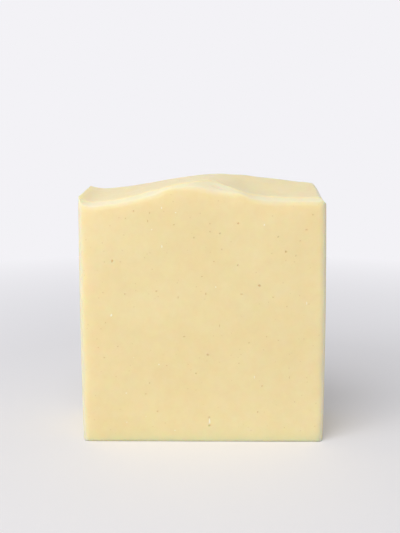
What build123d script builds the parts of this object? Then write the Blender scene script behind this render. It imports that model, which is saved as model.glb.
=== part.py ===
from build123d import *
import math
import os

# A bar of hand-made soap standing on its narrow base. It is one solid piece: the soap was poured into a
# loaf mould, its wet top was spooned into a wave, the set loaf was cut across into bars, and the edges
# of the bar were planed off by hand.
#
# Frame: millimetres, +Z up. X runs across the broad cut faces from one mould wall to the other, and Y
# runs through the thickness from the front cut face (-Y) to the back one (+Y).
# Origin: the centre of the footprint, on the surface that the bar stands on.

# --- the bar ---
bar_width = 73.1  # between the two mould walls, taken at half height on the left and at the foot on the right
bar_thickness = 29.0  # between the two cuts
bar_height = 79.0  # from the base to the crest of the wave
left_foot_inset = 0.15  # how far the left wall stands in from its widest at the base
left_crest_inset = 0.45  # and at the height of the crest
right_middle_inset = 0.1  # how far the right wall stands in from its foot at half height
right_crest_inset = 1.05  # and at the height of the crest

# --- the wave on top: one swell at the front cut, and a broader one at the back cut ---
# crest_x is measured from the middle of the bar. A drop is the fall from the crest to the level that
# the swell runs out to on that side, and a reach says how far from the crest it takes to get there.
front_crest_x = 0.5
front_left_drop = 6.8
front_left_reach = 21.0
front_right_drop = 4.7
front_right_reach = 10.7
back_crest_x = 6.0
back_left_drop = 5.5
back_left_reach = 27.0
back_right_drop = 3.5
back_right_reach = 22.0

# --- where the wet soap clung to the mould walls ---
left_lip_front = 2.4  # height of the lip on the left wall at the front cut
left_lip_back = 1.5  # and at the back cut
left_lip_reach = 5.5  # how far the lip's inner face runs in from the wall
right_lip = 0.5  # the slight rise at the right wall, at the front cut only
right_lip_reach = 5.0

# --- the planed edges ---
top_bevel = 1.6  # along the wave, front and back
wall_bevel = 1.2  # up the four tall edges
foot_bevel = 0.3  # round the base
left_lip_bevel = 0.6  # along the top of the left wall
right_lip_bevel = 1.2  # along the top of the right wall

# --- how finely the wave is laid out ---
wave_overhang = 3.0  # how far the wave's sheet runs past the bar on every side
wave_step_x = 2.0  # longest spacing of the sheet's stations across the bar
wave_step_y = 4.0  # and through its thickness
wave_tolerance = 0.01
FACING = 0.99  # cosine of the most that a wall or a tall edge leans from the way it faces


def eased(share):
    """0 before 0, 1 after 1, and level at both ends: 3s^2 - 2s^3."""
    share = min(max(share, 0.0), 1.0)
    return share * share * (3.0 - 2.0 * share)


def swell(x, crest_x, left_drop, left_reach, right_drop, right_reach):
    """Height below the crest of a bell-shaped swell whose two sides fall and spread differently."""
    if x < crest_x:
        drop, reach = left_drop, left_reach
    else:
        drop, reach = right_drop, right_reach
    return drop * (math.exp(-(((x - crest_x) / reach) ** 2)) - 1.0)


def lip(distance, height, reach):
    """Rise of the soap that clung to a wall: height at the wall, easing to nothing at its reach."""
    return height * max(1.0 - distance / reach, 0.0) ** 2


def wave_height(x, y):
    """Height of the bar's top above its base."""
    towards_back = eased(y / bar_thickness + 0.5)
    front = swell(
        x, front_crest_x, front_left_drop, front_left_reach, front_right_drop, front_right_reach
    )
    front += lip(x + bar_width / 2, left_lip_front, left_lip_reach)
    front += lip(bar_width / 2 - x, right_lip, right_lip_reach)
    back = swell(x, back_crest_x, back_left_drop, back_left_reach, back_right_drop, back_right_reach)
    back += lip(x + bar_width / 2, left_lip_back, left_lip_reach)
    return bar_height + front + (back - front) * towards_back


def stations(half_length, longest_step):
    """Evenly spaced places from -half_length to half_length, no further apart than longest_step."""
    count = math.ceil(2 * half_length / longest_step)
    return [half_length * (2 * i / count - 1) for i in range(count + 1)]


def make_wave_sheet():
    """The smooth sheet of the bar's top, larger than the bar all round."""
    across = stations(bar_width / 2 + wave_overhang, wave_step_x)
    through = stations(bar_thickness / 2 + wave_overhang, wave_step_y)
    rows = [[Vector(x, y, wave_height(x, y)) for x in across] for y in through]
    return Face.make_surface_from_array_of_points(rows, tol=wave_tolerance, min_deg=3, max_deg=5)


def make_block():
    """The cut slice of loaf before its top is shaped, taller than the wave, between bellied walls."""
    middle = bar_height / 2
    left, right = -bar_width / 2, bar_width / 2
    left_wall = ThreePointArc(
        (left + left_foot_inset, 0), (left, middle), (left + left_crest_inset, bar_height)
    )
    right_wall = ThreePointArc(
        (right, 0), (right - right_middle_inset, middle), (right - right_crest_inset, bar_height)
    )
    # Above the crest the walls run straight on, and the wave is cut below that.
    block_height = bar_height + left_lip_front
    left_top, right_top = left_wall @ 1, right_wall @ 1
    outline = [
        left_wall,
        right_wall,
        Line(left_wall @ 0, right_wall @ 0),
        Polyline(left_top, (left_top.X, block_height), (right_top.X, block_height), right_top),
    ]
    slice_face = Plane.XZ * make_face(outline)
    block = extrude(slice_face, bar_thickness / 2, both=True)
    tall_edges = block.edges().filter_by(lambda edge: abs((edge % 0.5).Z) > FACING)
    block = chamfer(tall_edges, wall_bevel)
    foot = block.faces().sort_by(Axis.Z)[0]
    return chamfer(foot.edges(), foot_bevel)


def edges_between(face, other):
    """The edges where two faces meet."""
    return ShapeList(edge for edge in face.edges() if any(edge.is_same(e) for e in other.edges()))


def plane_top_edge(bar, outward, bevel):
    """Plane off the edge between the wave and the wall that faces outward."""
    wave = bar.faces().filter_by(GeomType.BSPLINE).sort_by(SortBy.AREA)[-1]
    walls = bar.faces().filter_by(lambda face: face.normal_at().dot(Vector(outward)) > FACING)
    return chamfer(edges_between(wave, walls.sort_by(SortBy.AREA)[-1]), bevel)


def make_bar():
    """The whole bar: the slice, its wave cut by the sheet, and every edge planed."""
    above_the_wave = extrude(make_wave_sheet(), bar_height, dir=(0, 0, 1))
    bar = make_block() - above_the_wave
    bar = plane_top_edge(bar, (0, -1, 0), top_bevel)
    bar = plane_top_edge(bar, (0, 1, 0), top_bevel)
    bar = plane_top_edge(bar, (-1, 0, 0), left_lip_bevel)
    return plane_top_edge(bar, (1, 0, 0), right_lip_bevel)


os.makedirs("parts", exist_ok=True)
export_step(make_bar(), "parts/soap_bar.step")
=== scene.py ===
import math
import bpy
import numpy as np
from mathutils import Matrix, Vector


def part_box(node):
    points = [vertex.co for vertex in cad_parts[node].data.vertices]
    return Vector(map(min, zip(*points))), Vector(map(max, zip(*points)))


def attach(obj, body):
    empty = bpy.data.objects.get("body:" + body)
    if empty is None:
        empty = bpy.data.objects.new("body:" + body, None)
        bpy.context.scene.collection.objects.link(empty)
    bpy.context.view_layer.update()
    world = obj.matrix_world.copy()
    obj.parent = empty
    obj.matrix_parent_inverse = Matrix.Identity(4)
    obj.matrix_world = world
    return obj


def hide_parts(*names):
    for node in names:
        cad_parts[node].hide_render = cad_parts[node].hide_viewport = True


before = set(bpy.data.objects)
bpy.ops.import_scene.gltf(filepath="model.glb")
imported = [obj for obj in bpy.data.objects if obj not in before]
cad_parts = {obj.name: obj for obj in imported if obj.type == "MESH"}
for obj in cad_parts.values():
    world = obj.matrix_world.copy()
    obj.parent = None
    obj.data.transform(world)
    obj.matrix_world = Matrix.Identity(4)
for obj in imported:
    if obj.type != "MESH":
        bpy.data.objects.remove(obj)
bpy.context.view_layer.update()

# A bar of hand-made soap: poured in a loaf mould, spooned into a wave on top, cut by wire and planed
# along its edges. Lengths are in metres, +Z up, the front cut face towards -Y.
MM = 0.001

# ------------------------------------------------------------------ the bar's sizes
low, high = (np.array(corner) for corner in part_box("soap_bar"))
MIDDLE = (low + high) / 2
WIDTH, THICKNESS, HEIGHT = high - low
# How far each mould wall stands in from its widest at the base, at half height and at the crest.
LEFT_INSETS = np.array((0.15, 0.0, 0.45)) * MM
RIGHT_INSETS = np.array((0.0, 0.1, 1.05)) * MM

# A swell is (crest's x, left drop, left reach, right drop, right reach).
FRONT_SWELL = np.array((0.5, 6.8, 21.0, 4.7, 10.7)) * MM
BACK_SWELL = np.array((6.0, 5.5, 27.0, 3.5, 22.0)) * MM
LEFT_LIP_FRONT = 2.4 * MM
LEFT_LIP_BACK = 1.5 * MM
LEFT_LIP_REACH = 5.5 * MM
RIGHT_LIP = 0.5 * MM
RIGHT_LIP_REACH = 5.0 * MM

# The level shelf behind the front bevel, on the right of the top.
SHELF_DEPTH = 0.24  # share of the thickness
SHELF_START = 5.0 * MM
SHELF_REACH = 9.0 * MM

# The planed edges, as the length cut off each of the two faces that meet there.
FRONT_BEVEL = 1.5 * MM
BACK_BEVEL = 1.5 * MM
WALL_BEVEL = 1.2 * MM
FOOT_BEVEL = 0.3 * MM
END_FOOT_BEVEL = 0.5 * MM
LEFT_LIP_BEVEL = 0.6 * MM
RIGHT_LIP_BEVEL_FRONT = 2.4 * MM
RIGHT_LIP_BEVEL_BACK = 0.9 * MM
# Where a stroke of the plane bit deeper or lighter along the front: (x, extra bevel, reach).
FRONT_STROKES = np.array(
    ((-36.0, 0.5, 3.5), (-16.0, 0.2, 5.5), (-9.6, -0.6, 2.4), (3.0, 1.3, 4.5), (10.9, -0.6, 2.3))
) * MM
BACK_STROKES = np.array(((-25.0, 0.6, 6.0), (-4.0, -0.4, 4.0), (14.0, 0.8, 7.0), (36.0, 0.7, 4.0))) * MM

# How far the arrises of the planed edges are rounded over.
TOP_ARRIS = 0.10 * MM  # between the top and the bevels along it
FACE_ARRIS = 1.1 * MM  # between those bevels and the cut faces, at most
FACE_ARRIS_SHARE = 0.7  # and as a share of the bevel's width, at most
WALL_ARRIS = 1.0 * MM
LIP_ARRIS = 0.25 * MM
FOOT_ARRIS = 0.1 * MM
END_FOOT_ARRIS = 0.2 * MM
PLANED_FULLY = 0.6 * MM  # how much must be taken off a place for it to look planed

# How uneven the hand-made faces are.
CUT_FACE_UNEVEN = 0.07 * MM
CUT_FACE_FINE_SHARE = 0.15
TOP_UNEVEN = 0.07 * MM
WALL_BEVEL_UNEVEN = 0.05  # share of the bevel's width

# The crease in the front bevel, just right of the crest.
CREASE_X = 4.2 * MM
CREASE_REACH = 1.4 * MM
CREASE_HALF_WIDTH = 0.28 * MM
CREASE_DEPTH = 0.35 * MM
CREASE_SLANT = -0.12

# The lattice that the bar's skin is laid out on.
COARSE_STEP = 0.58 * MM
THROUGH_STEP = 0.8 * MM
FINE_STEP = 0.25 * MM
WALL_RIM = 2.0 * MM  # how far in from each end the fine steps run
FOOT_RIM = 0.8 * MM
TOP_RIM = 3.5 * MM

# The marks that show most on the front cut face: (x, z, half width, half height), in millimetres.
FRONT_PITS = (
    (-22.2, 68.5, 0.20, 0.20), (-15.8, 67.4, 0.18, 0.40), (-15.3, 70.1, 0.20, 0.30),
    (-8.4, 66.5, 0.30, 0.22), (-2.6, 62.6, 0.20, 0.32), (2.0, 67.0, 0.18, 0.24),
    (2.0, 64.6, 0.20, 0.22), (5.2, 63.8, 0.26, 0.26), (5.8, 59.1, 0.20, 0.26),
    (22.0, 62.7, 0.26, 0.26), (24.4, 58.6, 0.32, 0.44), (27.2, 57.3, 0.18, 0.30),
    (28.4, 61.8, 0.20, 0.22), (31.7, 69.3, 0.20, 0.24), (29.8, 65.1, 0.34, 0.22),
    (3.1, 55.8, 0.22, 0.22), (10.1, 54.5, 0.26, 0.30), (-26.7, 55.9, 0.34, 0.60),
    (-22.7, 46.0, 0.30, 0.22), (-28.6, 37.3, 0.22, 0.20), (-7.3, 44.7, 0.16, 0.44),
    (0.6, 46.1, 0.22, 0.40), (11.2, 46.1, 0.60, 0.20), (16.7, 48.5, 0.50, 0.36),
    (20.8, 45.2, 0.26, 0.22), (24.7, 42.4, 0.20, 0.20), (-5.3, 33.3, 0.42, 0.22),
    (4.8, 36.4, 0.16, 0.50), (1.5, 27.7, 0.40, 0.34), (13.7, 31.4, 0.30, 0.20),
    (18.7, 32.8, 0.20, 0.20), (-29.3, 26.6, 0.26, 0.22), (-11.0, 24.1, 0.24, 0.18),
    (-2.3, 21.6, 0.30, 0.24), (-15.8, 18.6, 0.22, 0.28), (-17.4, 15.2, 0.26, 0.20),
    (17.7, 17.9, 0.24, 0.26), (27.4, 12.7, 0.20, 0.20), (-13.5, 9.9, 0.34, 0.20),
    (26.1, 20.3, 0.16, 0.44),
)
# Pale crumbs and scuffs of the same face, which the material also paints with glints.
FRONT_CRUMBS = (
    (17.9, 66.4, 0.22, 0.30), (-11.8, 60.3, 0.20, 0.42), (-27.1, 39.4, 0.30, 0.44),
    (-11.7, 71.4, 0.18, 0.34), (-13.1, 24.4, 0.20, 0.26), (1.9, 6.3, 0.26, 0.85),
    (30.3, 43.0, 0.16, 0.50), (-23.2, 15.2, 0.24, 0.20), (15.3, 20.3, 0.14, 0.46),
    (-8.7, 3.8, 0.20, 0.20), (-14.7, 64.9, 0.20, 0.20),
)
FRONT_STRAY_PITS = 38
BACK_STRAY_PITS = 75
PIT_MARGIN = 4.0 * MM  # how far the pits keep from the edges of a cut face
PIT_BLOCK = 2  # a pit is let into a square of twice this many lattice cells a side
PIT_RINGS = np.array((1.5, 1.05, 0.8, 0.45))  # the rings round a pit, as shares of its radius
PIT_SEED = 5
# As shares of a mark's smaller half size: how deep a pit goes, how far a crumb stands out, and the burr
# that the wire raised round either.
PIT_DEPTH = 0.6
CRUMB_HEIGHT = 0.12
PIT_BURR = 0.12
BURR_PLACE = 1.15  # share of the radius
BURR_REACH = 0.25
# The stray marks: half sizes in millimetres, how far each is stretched, and how many are crumbs.
STRAY_HALF = (0.10, 0.22)
STRAY_STRETCH = (0.8, 1.5)
STRAY_CRUMB_SHARE = 0.14


# ------------------------------------------------------------------ forms
def eased(share):
    """0 before 0, 1 after 1, and level at both ends: 3s^2 - 2s^3."""
    share = np.clip(share, 0.0, 1.0)
    return share * share * (3.0 - 2.0 * share)


def bell(distance, reach):
    """1 at no distance, falling to 1/e at the reach: exp(-(d / r)^2)."""
    return np.exp(-((distance / reach) ** 2))


def ripple(points, seed, shortest, longest, waves=14):
    """Smooth unevenness of about -1 to 1: sine waves of random direction, phase and length, added up."""
    random = np.random.default_rng(seed)
    directions = random.normal(size=(points.shape[-1], waves))
    directions /= np.linalg.norm(directions, axis=0)
    lengths = np.exp(random.uniform(math.log(shortest), math.log(longest), waves))
    phases = random.uniform(0.0, math.tau, waves)
    return np.sin(points @ (directions * math.tau / lengths) + phases).sum(axis=-1) / math.sqrt(waves)


def swell(x, form):
    """Height below the crest: a bell whose two sides have their own drop and reach."""
    crest, left_drop, left_reach, right_drop, right_reach = form
    left = x < crest
    drop = np.where(left, left_drop, right_drop)
    return drop * (bell(x - crest, np.where(left, left_reach, right_reach)) - 1.0)


def lip(distance, height, reach):
    """Soap that clung to a wall: its height at the wall, easing to nothing at its reach."""
    return height * np.clip(1.0 - distance / reach, 0.0, None) ** 2


def wave_height(x, y):
    """Height of the top: the front swell and its lips, eased through the thickness into the back's."""
    from_left = x - MIDDLE[0] + WIDTH / 2
    from_right = WIDTH - from_left
    front = swell(x, FRONT_SWELL) + lip(from_left, LEFT_LIP_FRONT, LEFT_LIP_REACH)
    front += lip(from_right, RIGHT_LIP, RIGHT_LIP_REACH)
    back = swell(x, BACK_SWELL) + lip(from_left, LEFT_LIP_BACK, LEFT_LIP_REACH)
    # Right of the crest the spoon left a level shelf along the front, and the rise starts behind it.
    shelf = SHELF_DEPTH * eased((x - SHELF_START) / SHELF_REACH)
    towards_back = eased((y / THICKNESS + 0.5 - shelf) / (1.0 - shelf))
    return HEIGHT + front + (back - front) * towards_back


def wall_inset(z, insets):
    """The parabola through a wall's insets at the base, at half height and at the crest."""
    share = z / HEIGHT
    foot, middle, crest = insets
    return (
        foot * (1.0 - share) * (1.0 - 2.0 * share)
        + middle * 4.0 * share * (1.0 - share)
        + crest * share * (2.0 * share - 1.0)
    )


def left_wall(z):
    """Where the left mould wall stands at a height."""
    return MIDDLE[0] - WIDTH / 2 + wall_inset(z, LEFT_INSETS)


def right_wall(z):
    """Where the right mould wall stands at a height."""
    return MIDDLE[0] + WIDTH / 2 - wall_inset(z, RIGHT_INSETS)


def stroke_width(x, base, strokes):
    """A bevel's width along x: its base width and a bell for each stroke of the plane."""
    centre, extra, reach = strokes.T
    return base + (extra * bell(np.asarray(x)[..., None] - centre, reach)).sum(axis=-1)


def plane_off(points, normal, depth, softness):
    """Takes off what stands proud of a plane. A point proud by s moves back by s, and within r of the
    plane by (s + r)^2 / 4r, which rounds the arris. Returns the new points and how much was taken."""
    normal = np.array(normal) / np.linalg.norm(normal)
    proud = points @ normal - depth
    near = np.clip(proud + softness, 0.0, None) ** 2 / (4.0 * softness)
    cut = np.where(proud > softness, proud, near)
    return points - cut[:, None] * normal, cut


# ------------------------------------------------------------------ the lattice
def stations(start, end, step, start_rim, end_rim):
    """Places from start to end: fine steps within a rim of each end, and the given step between."""
    first = np.linspace(start, start + start_rim, round(start_rim / FINE_STEP) + 1)[:-1]
    cells = round((end - end_rim - start - start_rim) / step)
    inner = np.linspace(start + start_rim, end - end_rim, cells + 1)
    last = np.linspace(end - end_rim, end, round(end_rim / FINE_STEP) + 1)[1:]
    return np.concatenate((first, inner, last))


def quads(sheet):
    """The quads of a sheet of point numbers, facing first axis cross second axis."""
    corners = (sheet[:-1, :-1], sheet[1:, :-1], sheet[1:, 1:], sheet[:-1, 1:])
    return np.stack(corners, axis=-1)


def block_loop(half):
    """Steps round the outline of a square block of cells, from its low corner, first axis first."""
    run = np.arange(-half, half)
    one = np.full_like(run, half)
    sides = ((run, -one), (one, run), (-run, one), (-one, -run))
    return np.concatenate([np.stack(side, axis=-1) for side in sides])


LOOP = block_loop(PIT_BLOCK)
LOOP_ANGLES = np.arctan2(LOOP[:, 1], LOOP[:, 0])


def let_in(sheet, centres, first_new):
    """Opens a block of cells round each centre and closes it with rings of new points about a middle
    one. Returns the quads that stay, the ring quads and the middle triangles."""
    kept = np.ones(np.array(sheet.shape) - 1, bool)
    across = np.arange(-PIT_BLOCK, PIT_BLOCK)
    kept[centres[:, 0, None, None] + across[:, None], centres[:, 1, None, None] + across] = False
    rings, around, count = len(PIT_RINGS), len(LOOP), len(centres)
    outline = sheet[centres[:, :1] + LOOP[:, 0], centres[:, 1:] + LOOP[:, 1]]
    per_pit = rings * around + 1
    new = first_new + np.arange(count)[:, None] * per_pit + np.arange(per_pit)
    loops = np.concatenate((outline[:, None], new[:, :-1].reshape(count, rings, around)), axis=1)
    turned = np.roll(loops, -1, axis=2)
    bands = np.stack((loops[:, :-1], turned[:, :-1], turned[:, 1:], loops[:, 1:]), axis=-1)
    middle = np.broadcast_to(new[:, -1:], (count, around))
    fans = np.stack((loops[:, -1], turned[:, -1], middle), axis=-1)
    return quads(sheet)[kept], bands.reshape(-1, 4), fans.reshape(-1, 3)


def choose_pits(random, marks, kinds, stray, across, up):
    """Centres of the pits as lattice places, with their half sizes and kinds: the marks given, and
    stray small ones, each kept clear of those before it. A kind is 1 for a pit and -1 for a crumb. A
    lattice row's height is scaled by the wave, so a mark's row is found from its height scaled back."""
    clear = 2 * PIT_BLOCK
    inside_x = np.flatnonzero((across > across[0] + PIT_MARGIN) & (across < across[-1] - PIT_MARGIN))
    inside_z = np.flatnonzero((up > PIT_MARGIN) & (up < HEIGHT - PIT_MARGIN))
    tries = 40 * stray
    stray_x = random.choice(inside_x, tries)
    stray_z = random.choice(inside_z, tries)
    stray_half = random.uniform(*STRAY_HALF, (tries, 1)) * random.uniform(*STRAY_STRETCH, (tries, 2)) * MM
    stray_kind = np.where(random.random(tries) < STRAY_CRUMB_SHARE, -1, 1)
    mark_x = np.abs(across - marks[:, :1] * MM).argmin(axis=1)
    local_height = wave_height(marks[:, 0] * MM, np.zeros(len(marks)) - THICKNESS / 2)
    mark_z = np.abs(up - (marks[:, 1] * MM * HEIGHT / local_height)[:, None]).argmin(axis=1)
    places = np.concatenate((np.stack((mark_x, mark_z), -1), np.stack((stray_x, stray_z), -1)))
    halves = np.concatenate((marks[:, 2:] * MM, stray_half))
    kind = np.concatenate((kinds, stray_kind))
    chosen = []
    for number, place in enumerate(places):
        if len(chosen) == len(marks) + stray:
            break
        if all(np.abs(place - places[other]).max() >= clear for other in chosen):
            chosen.append(number)
    return places[chosen], halves[chosen], kind[chosen]


def ring_points(random, middles, halves, kinds):
    """The rings round each pit, in the plane of its cut face. A pit's outline is an ellipse with a
    wobble of two and three waves round it, and its depth at a share s of its radius is a bowl,
    (1 - s^2)^0.6, less a burr at the rim. Returns the points' places, depths and shares of the bowl."""
    count = len(middles)
    phases = random.uniform(0.0, math.tau, (2, count, 1))
    wobble = 1.0 + 0.14 * np.sin(2 * LOOP_ANGLES + phases[0]) + 0.10 * np.sin(3 * LOOP_ANGLES + phases[1])
    radii = PIT_RINGS[None, :, None] * wobble[:, None]
    offset_across = radii * np.cos(LOOP_ANGLES) * halves[:, 0, None, None]
    offset_up = radii * np.sin(LOOP_ANGLES) * halves[:, 1, None, None]
    offsets = np.stack((offset_across, offset_up), axis=-1).reshape(count, -1, 2)
    offsets = np.concatenate((offsets, np.zeros((count, 1, 2))), axis=1)
    shares = np.append(np.repeat(PIT_RINGS, len(LOOP)), 0.0)
    bowl = np.clip(1.0 - shares**2, 0.0, None) ** 0.6
    burr = PIT_BURR * bell(shares - BURR_PLACE, BURR_REACH)
    deepest = np.where(kinds > 0, PIT_DEPTH, -CRUMB_HEIGHT)[:, None]
    depth = halves.min(axis=1)[:, None] * (bowl * deepest - burr)
    return middles[:, None] + offsets, depth, bowl


# ------------------------------------------------------------------ the bar
def cut_face_relief(points, seed):
    """How far the wire wandered while it cut a face: long waves, and a share of short ones."""
    flat = points[:, ::2]
    long_waves = ripple(flat, seed, 14 * MM, 60 * MM)
    short_waves = ripple(flat, seed + 1, 3 * MM, 7 * MM)
    return CUT_FACE_UNEVEN * (long_waves + CUT_FACE_FINE_SHARE * short_waves)


def shaped(points, on_top):
    """Gives the sharp-edged slice its hand-made form: cut faces a little uneven, then every edge planed
    off at 45 degrees, where |y| + z, |x| + |y| or |x| + z goes past the bevel's plane. Returns the points
    and how far each was planed, from 0 to 1."""
    share = points[:, 1] / THICKNESS
    points = points.copy()
    points[:, 1] += (0.5 - share) * cut_face_relief(points, 11)
    points[:, 1] -= (0.5 + share) * cut_face_relief(points, 13)
    x, y, z = points.T
    half = THICKNESS / 2
    # 0 on the top, rising to 1 a bevel's width below it on the cut faces.
    below = np.where(on_top, 0.0, np.clip((wave_height(x, y) - z) / FRONT_BEVEL, 0.0, 1.0))
    planed = np.zeros(len(points))
    walls = ((-1, -left_wall(z)), (1, right_wall(z)))
    unsteady = 1.0 + WALL_BEVEL_UNEVEN * ripple(points[:, 2:], 21, 10 * MM, 40 * MM)
    for side, wall in walls:
        for face in (-1, 1):
            depth = (wall + half - WALL_BEVEL * unsteady) / math.sqrt(2)
            points, cut = plane_off(points, (side, face, 0), depth, WALL_ARRIS)
            planed = np.maximum(planed, cut)
    for face, base, strokes in ((-1, FRONT_BEVEL, FRONT_STROKES), (1, BACK_BEVEL, BACK_STROKES)):
        edge = wave_height(x, np.full_like(x, face * half))
        bevel = stroke_width(x, base, strokes)
        depth = (half + edge - bevel) / math.sqrt(2)
        face_arris = np.minimum(FACE_ARRIS, FACE_ARRIS_SHARE * bevel)
        softness = TOP_ARRIS + (face_arris - TOP_ARRIS) * below
        points, cut = plane_off(points, (0, face, 1), depth, softness)
        planed = np.maximum(planed, cut)
        points, _ = plane_off(points, (0, face, -1), (half - FOOT_BEVEL) / math.sqrt(2), FOOT_ARRIS)
        if face < 0:
            points = crease(points, edge)
    for side, wall in walls:
        rim = wave_height(np.full_like(y, side * WIDTH / 2), y)
        towards_back = eased(y / THICKNESS + 0.5)
        if side < 0:
            rim_wall, bevel = -left_wall(rim), LEFT_LIP_BEVEL
        else:
            narrowing = RIGHT_LIP_BEVEL_BACK - RIGHT_LIP_BEVEL_FRONT
            rim_wall, bevel = right_wall(rim), RIGHT_LIP_BEVEL_FRONT + narrowing * towards_back
        depth = (rim_wall + rim - bevel) / math.sqrt(2)
        points, cut = plane_off(points, (side, 0, 1), depth, LIP_ARRIS)
        planed = np.maximum(planed, cut)
        depth = (wall - END_FOOT_BEVEL) / math.sqrt(2)
        points, _ = plane_off(points, (side, 0, -1), depth, END_FOOT_ARRIS)
    return points, np.clip(planed / PLANED_FULLY, 0.0, 1.0)


def crease(points, edge):
    """Presses the short fold into the front bevel where the wet soap closed over itself: a bell along
    the bevel times a narrow bell across it, pressed in square to the bevel."""
    x, y, z = points.T
    outward = (z - y - edge - THICKNESS / 2) / math.sqrt(2)
    up_the_bevel = (z + y - edge + THICKNESS / 2) / math.sqrt(2)
    slant = CREASE_SLANT * (x - CREASE_X)
    press = CREASE_DEPTH * bell(x - CREASE_X, CREASE_REACH)
    press = press * bell(up_the_bevel - slant, CREASE_HALF_WIDTH)
    press = np.where(outward > -2.0 * FRONT_BEVEL, press, 0.0)
    return points - press[:, None] * np.array((0.0, -1.0, 1.0)) / math.sqrt(2)


def cut_face(random, sheet, pits, face, across, up, first_new):
    """One cut face with its pits let in: its quads and triangles, and its new points' places with their
    depths, their shares of a pit and their kinds. The back face's sheet has its axes the other way round,
    so that it faces outwards."""
    places, halves, kind = pits
    order = slice(None) if face < 0 else slice(None, None, -1)
    kept, bands, fans = let_in(sheet, places[:, order], first_new)
    middles = np.stack((across[places[:, 0]], up[places[:, 1]]), axis=-1)
    middles[:, 1] *= wave_height(middles[:, 0], face * THICKNESS / 2) / HEIGHT
    flat, depth, share = ring_points(random, middles[:, order], halves[:, order], kind)
    flat = flat[..., order].reshape(-1, 2)
    points = np.stack((flat[:, 0], np.full(len(flat), face * THICKNESS / 2), flat[:, 1]), axis=-1)
    numbers = (-face * depth.ravel(), np.tile(share, len(places)), np.repeat(kind, depth.shape[1]))
    return np.concatenate((kept, bands)), fans, points, numbers


def slice_points(share_across, y, share_up):
    """Places on the sharp-edged slice: z is the share of the way up to the wave, and x the share of the
    way from the left wall to the right one at that height."""
    top_x = left_wall(HEIGHT) + share_across * (right_wall(HEIGHT) - left_wall(HEIGHT))
    uneven_top = TOP_UNEVEN * ripple(np.stack((top_x, y), -1), 31, 4 * MM, 16 * MM)
    z = share_up * (wave_height(top_x, y) + uneven_top * share_up**8)
    x = left_wall(z) + share_across * (right_wall(z) - left_wall(z))
    return np.stack((x, y, z), axis=-1)


def make_bar():
    """The bar's skin: the outside of a box lattice, with rounds let in for its pits and crumbs."""
    across = stations(-WIDTH / 2, WIDTH / 2, COARSE_STEP, WALL_RIM, WALL_RIM)
    through = stations(-THICKNESS / 2, THICKNESS / 2, THROUGH_STEP, TOP_RIM, TOP_RIM)
    up = stations(0.0, HEIGHT, COARSE_STEP, FOOT_RIM, TOP_RIM)
    size = (len(across), len(through), len(up))
    number = np.arange(math.prod(size)).reshape(size)
    random = np.random.default_rng(PIT_SEED)

    marks = np.array(FRONT_PITS + FRONT_CRUMBS)
    kinds = np.repeat((1, -1), (len(FRONT_PITS), len(FRONT_CRUMBS)))
    front_pits = choose_pits(random, marks, kinds, FRONT_STRAY_PITS, across, up)
    back_pits = choose_pits(random, np.zeros((0, 4)), np.zeros(0, int), BACK_STRAY_PITS, across, up)
    front = cut_face(random, number[:, 0], front_pits, -1, across, up, number.size)
    first_new = number.size + len(front[2])
    back = cut_face(random, number[:, -1].T, back_pits, 1, across, up, first_new)
    other_sheets = (number[0].T, number[-1], number[:, :, 0].T, number[:, :, -1])
    other_quads = [quads(sheet).reshape(-1, 4) for sheet in other_sheets]
    four_sided = np.concatenate((front[0], back[0], *other_quads))
    three_sided = np.concatenate((front[1], back[1]))

    # Only the lattice's outside is used, so its inner places drop out of the numbering.
    used = np.unique(np.concatenate((four_sided.ravel(), three_sided.ravel())))
    i, j, k = np.unravel_index(used[used < number.size], size)
    lattice = slice_points(across[i] / WIDTH + 0.5, through[j], up[k] / HEIGHT)
    points = np.concatenate((lattice, front[2], back[2]))
    on_top = np.concatenate((k == size[2] - 1, np.zeros(len(points) - len(k), bool)))
    points, planed = shaped(points, on_top)

    plain = np.zeros(len(k))
    depth, share, kind = (np.concatenate((plain, *both)) for both in zip(front[3], back[3]))
    points[:, 1] += depth
    four_sided = np.searchsorted(used, four_sided)
    three_sided = np.searchsorted(used, three_sided)
    bar = new_piece("soap_bar_hand_made", points, four_sided, three_sided)
    add_number(bar, "pit", np.where(kind > 0, share, 0.0))
    add_number(bar, "crumb", np.where(kind < 0, share, 0.0))
    add_number(bar, "planed", planed)
    return bar


def new_piece(name, points, four_sided, three_sided=np.zeros((0, 3), int)):
    """A smooth-shaded mesh object from arrays of points, quads and triangles."""
    mesh = bpy.data.meshes.new(name)
    corners = np.concatenate((four_sided.ravel(), three_sided.ravel()))
    starts = np.concatenate(
        (np.arange(len(four_sided)) * 4, len(four_sided) * 4 + np.arange(len(three_sided)) * 3)
    )
    mesh.vertices.add(len(points))
    mesh.loops.add(len(corners))
    mesh.polygons.add(len(starts))
    mesh.vertices.foreach_set("co", points.ravel())
    mesh.polygons.foreach_set("loop_start", starts)
    mesh.loops.foreach_set("vertex_index", corners)
    mesh.update(calc_edges=True)
    mesh.validate()
    mesh.shade_smooth()
    piece = bpy.data.objects.new(name, mesh)
    bpy.context.scene.collection.objects.link(piece)
    return piece


def add_number(piece, name, values):
    """Stores one number a point on a piece, for its material to read."""
    piece.data.attributes.new(name, "FLOAT", "POINT").data.foreach_set("value", values)


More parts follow.
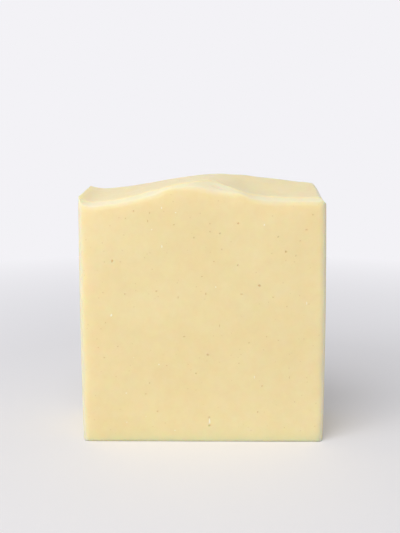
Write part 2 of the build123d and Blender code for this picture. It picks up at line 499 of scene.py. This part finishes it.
# ------------------------------------------------------------------ shader maths
class Value:
    """A socket of a shader. Python's operators on it add Math nodes."""

    def __init__(self, shader, socket):
        self.shader = shader
        self.socket = socket

    def __add__(self, other):
        return self.shader.math("ADD", self, other)

    def __radd__(self, other):
        return self.shader.math("ADD", other, self)

    def __sub__(self, other):
        return self.shader.math("SUBTRACT", self, other)

    def __rsub__(self, other):
        return self.shader.math("SUBTRACT", other, self)

    def __mul__(self, other):
        return self.shader.math("MULTIPLY", self, other)

    def __rmul__(self, other):
        return self.shader.math("MULTIPLY", other, self)

    def __truediv__(self, other):
        return self.shader.math("DIVIDE", self, other)

    def __rtruediv__(self, other):
        return self.shader.math("DIVIDE", other, self)

    def clamped(self):
        """The value held between 0 and 1."""
        return self.shader.math("MINIMUM", self.shader.math("MAXIMUM", self, 0.0), 1.0)


class Shader:
    """The node tree of a material or of the world, filled by calls."""

    def __init__(self, owner):
        owner.use_nodes = True
        self.tree = owner.node_tree
        self.tree.nodes.clear()

    def node(self, kind, settings=None, sockets=None, output=0):
        """Adds a node: its settings first, then its sockets' values or links. Returns one output."""
        node = self.tree.nodes.new(kind)
        for name, value in (settings or {}).items():
            setattr(node, name, value)
        for name, value in (sockets or {}).items():
            if isinstance(value, Value):
                self.tree.links.new(value.socket, node.inputs[name])
            else:
                node.inputs[name].default_value = value
        return Value(self, node.outputs[output]) if len(node.outputs) else None

    def math(self, operation, *values):
        """A Math node of one operation."""
        return self.node("ShaderNodeMath", {"operation": operation}, dict(enumerate(values)))

    def mix(self, share, first, second, blend="MIX"):
        """A colour between two others."""
        settings = {"data_type": "RGBA", "blend_type": blend}
        return self.node("ShaderNodeMix", settings, {0: share, 6: first, 7: second}, 2)

    def noise(self, place, size, detail=2.0, rough=0.5):
        """Clouds of about a size in metres, from 0 to 1 about 0.5."""
        sockets = {"Vector": place, "Scale": 1.0 / size, "Detail": detail, "Roughness": rough}
        return self.node("ShaderNodeTexNoise", None, sockets)

    def stretched(self, place, scale):
        """A place scaled along each axis."""
        return self.node("ShaderNodeMapping", None, {"Vector": place, "Scale": scale})

    def attribute(self, name):
        """A number stored on the piece's points."""
        return self.node("ShaderNodeAttribute", {"attribute_name": name}, None, "Fac")


def srgb(red, green, blue, alpha=1.0):
    """A linear colour from its 0 to 255 display values."""
    channels = np.array((red, green, blue)) / 255.0
    linear = np.where(channels <= 0.04045, channels / 12.92, ((channels + 0.055) / 1.055) ** 2.4)
    return (*linear, alpha)


# ------------------------------------------------------------------ materials
def soap_material():
    """Cured cream soap: clouded, speckled and faintly dragged by the wire, glossier where it was planed,
    with light painted in: painted sheen on the bevels, painted shade in the pits and pricks, painted
    glints on the pale crumbs.
    """
    material = bpy.data.materials.new("cured_soap")
    shader = Shader(material)
    place = shader.node("ShaderNodeTexCoord", None, None, "Object")
    pit = shader.attribute("pit")
    crumb = shader.attribute("crumb")
    planed = shader.attribute("planed")
    clouds = shader.noise(place, 22 * MM, 2.0)
    mottle = shader.noise(place, 3.2 * MM, 3.0, 0.6)
    grain = shader.noise(place, 0.35 * MM, 2.0)
    drag = shader.noise(shader.stretched(place, (1.0, 1.0, 0.12)), 0.7 * MM, 2.0)

    cream, honey = srgb(244, 229, 181), srgb(237, 217, 162)
    planed_painted_sheen, crumb_white_and_glint = srgb(229, 222, 193), srgb(255, 247, 226)
    pit_painted_shade, prick_painted_shade = srgb(205, 168, 100), srgb(206, 172, 108)
    tone = (0.5 + (clouds - 0.5) * 0.9 + (mottle - 0.5) * 0.9).clamped()
    colour = shader.mix(tone, honey, cream)
    # Painted sheen: the planed bevels are painted a greyer, less yellow cream that stands in for the
    # light they reflect.
    colour = shader.mix(planed * 0.85, colour, planed_painted_sheen)
    # Painted shade: the pits are painted darker towards their bottoms, where shade falls.
    colour = shader.mix((pit * 0.5).clamped(), colour, pit_painted_shade)
    # The crumbs are painted near-white: partly their own pale colour, partly painted glints.
    colour = shader.mix((crumb * 1.3).clamped(), colour, crumb_white_and_glint)

    cells = {"Vector": place, "Scale": 1.0 / (2.4 * MM)}
    near = shader.node("ShaderNodeTexVoronoi", None, cells, "Distance")
    prick = ((0.085 - near) * 30.0).clamped() * (1.0 - planed)
    # Painted shade: the small pricks, bumped in as hollows, are painted darker as if shaded inside.
    colour = shader.mix(prick * 0.3, colour, prick_painted_shade)

    rough = 0.46 + (mottle - 0.5) * 0.12 - planed * 0.07
    relief = (grain - 0.5) * 0.25 + (drag - 0.5) * 0.5 * (1.0 - planed)
    relief = relief + (mottle - 0.5) * 0.6 - prick * 2.0
    bump = {"Strength": 0.5, "Distance": 0.04 * MM, "Height": relief}
    normal = shader.node("ShaderNodeBump", None, bump)
    surface = {
        "Base Color": colour,
        "Roughness": rough,
        "Normal": normal,
        "IOR": 1.46,
        "Subsurface Weight": 0.8,
        "Subsurface Radius": (1.0, 0.6, 0.3),
        "Subsurface Scale": 5.0 * MM,
    }
    soap = shader.node("ShaderNodeBsdfPrincipled", None, surface)
    shader.node("ShaderNodeOutputMaterial", None, {"Surface": soap})
    return material


BACKGROUND = srgb(243, 242, 246)
FLOOR_PAINT = srgb(236, 235, 238)


def floor_material(clear_radius, far_radius):
    """A pale floor that takes the shadow near the bar and runs out into the background's white."""
    material = bpy.data.materials.new("pale_floor")
    shader = Shader(material)
    place = shader.node("ShaderNodeTexCoord", None, None, "Object")
    length = {"operation": "LENGTH"}
    distance = shader.node("ShaderNodeVectorMath", length, {0: place}, "Value")
    away = ((distance - clear_radius) / (far_radius - clear_radius)).clamped()
    camera = shader.node("ShaderNodeLightPath", None, None, "Is Camera Ray")
    paint = shader.node("ShaderNodeBsdfDiffuse", None, {"Color": FLOOR_PAINT})
    glow = shader.node("ShaderNodeEmission", None, {"Color": BACKGROUND, "Strength": 1.0})
    mixed = shader.node("ShaderNodeMixShader", None, {0: away * camera, 1: paint, 2: glow})
    shader.node("ShaderNodeOutputMaterial", None, {"Surface": mixed})
    return material


def light_world(strength):
    """Even white light from all round; the camera and gloss see the pale background instead."""
    world = bpy.data.worlds.new("studio")
    bpy.context.scene.world = world
    shader = Shader(world)
    camera = shader.node("ShaderNodeLightPath", None, None, "Is Camera Ray")
    glossy = shader.node("ShaderNodeLightPath", None, None, "Is Glossy Ray")
    seen = shader.math("MAXIMUM", camera, glossy)
    white = {"Color": srgb(250, 251, 255), "Strength": strength}
    light = shader.node("ShaderNodeBackground", None, white)
    backdrop = shader.node("ShaderNodeBackground", None, {"Color": BACKGROUND, "Strength": 1.0})
    mixed = shader.node("ShaderNodeMixShader", None, {0: seen, 1: light, 2: backdrop})
    shader.node("ShaderNodeOutputWorld", None, {"Surface": mixed})


# ------------------------------------------------------------------ the studio
FLOOR_RADIUS = 3.0
FLOOR_CLEAR_RADIUS = 0.11  # within this the floor shows its paint and shadows
FLOOR_FAR_RADIUS = 0.32  # and beyond this the background's white
WORLD_LIGHT = 0.44
LAMP_WHITE = (1.0, 0.995, 0.985)
CAMERA_PLACE = (0.75 * MM, -258.1 * MM, 100.4 * MM)
CAMERA_DOWN = 10.75  # degrees below level
CAMERA_TURN = 0.375  # degrees to the left
SENSOR_WIDTH = 36.0  # this and the lens in millimetres
LENS = 57.4


def make_floor(radius, material):
    """A round floor at the height that the bar stands on: rings of points about a middle one."""
    turns, rings = 96, np.array((0.1, 0.3, 1.0)) * radius
    angles = np.linspace(0.0, math.tau, turns, endpoint=False)
    circle = np.stack((np.cos(angles), np.sin(angles), np.zeros(turns)), axis=-1)
    points = np.concatenate((rings[:, None, None] * circle).reshape(1, -1, 3))
    points = np.concatenate((points, np.zeros((1, 3))))
    loops = np.arange(len(rings) * turns).reshape(len(rings), turns)
    turned = np.roll(loops, -1, axis=1)
    bands = np.stack((loops[:-1], loops[1:], turned[1:], turned[:-1]), axis=-1).reshape(-1, 4)
    fan = np.stack((loops[0], turned[0], np.full(turns, len(points) - 1)), axis=-1)
    floor = new_piece("floor", points, bands, fan)
    floor.data.materials.append(material)


def add_softbox(name, place, target, width, height, power, colour):
    """A rectangular area lamp at a place, facing a target."""
    lamp = bpy.data.lights.new(name, "AREA")
    lamp.shape = "RECTANGLE"
    lamp.size, lamp.size_y = width, height
    lamp.energy = power
    lamp.color = colour
    stand = bpy.data.objects.new(name, lamp)
    stand.location = place
    away = stand.location - Vector(target)
    stand.rotation_euler = away.to_track_quat("Z", "Y").to_euler()
    bpy.context.scene.collection.objects.link(stand)


def add_camera():
    """A short telephoto view of the front cut face, from a little above."""
    camera = bpy.data.cameras.new("camera")
    camera.sensor_width = SENSOR_WIDTH
    camera.lens = LENS
    camera.clip_start = 0.01
    camera.clip_end = 20.0
    stand = bpy.data.objects.new("camera", camera)
    stand.location = CAMERA_PLACE
    stand.rotation_euler = (math.radians(90.0 - CAMERA_DOWN), 0.0, math.radians(CAMERA_TURN))
    bpy.context.scene.collection.objects.link(stand)
    bpy.context.scene.camera = stand


bar = make_bar()
bar.data.materials.append(soap_material())
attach(bar, "root")
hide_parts("soap_bar")

make_floor(FLOOR_RADIUS, floor_material(FLOOR_CLEAR_RADIUS, FLOOR_FAR_RADIUS))
light_world(WORLD_LIGHT)
bar_middle = (0.0, 0.0, HEIGHT / 2)
add_softbox("key", (-0.30, -0.625, 0.89), bar_middle, 0.9, 0.9, 7.9, LAMP_WHITE)
add_softbox("left_fill", (-1.0, -0.45, 0.35), bar_middle, 0.7, 0.7, 2.3, LAMP_WHITE)
add_camera()

scene = bpy.context.scene
scene.view_settings.view_transform = "Standard"
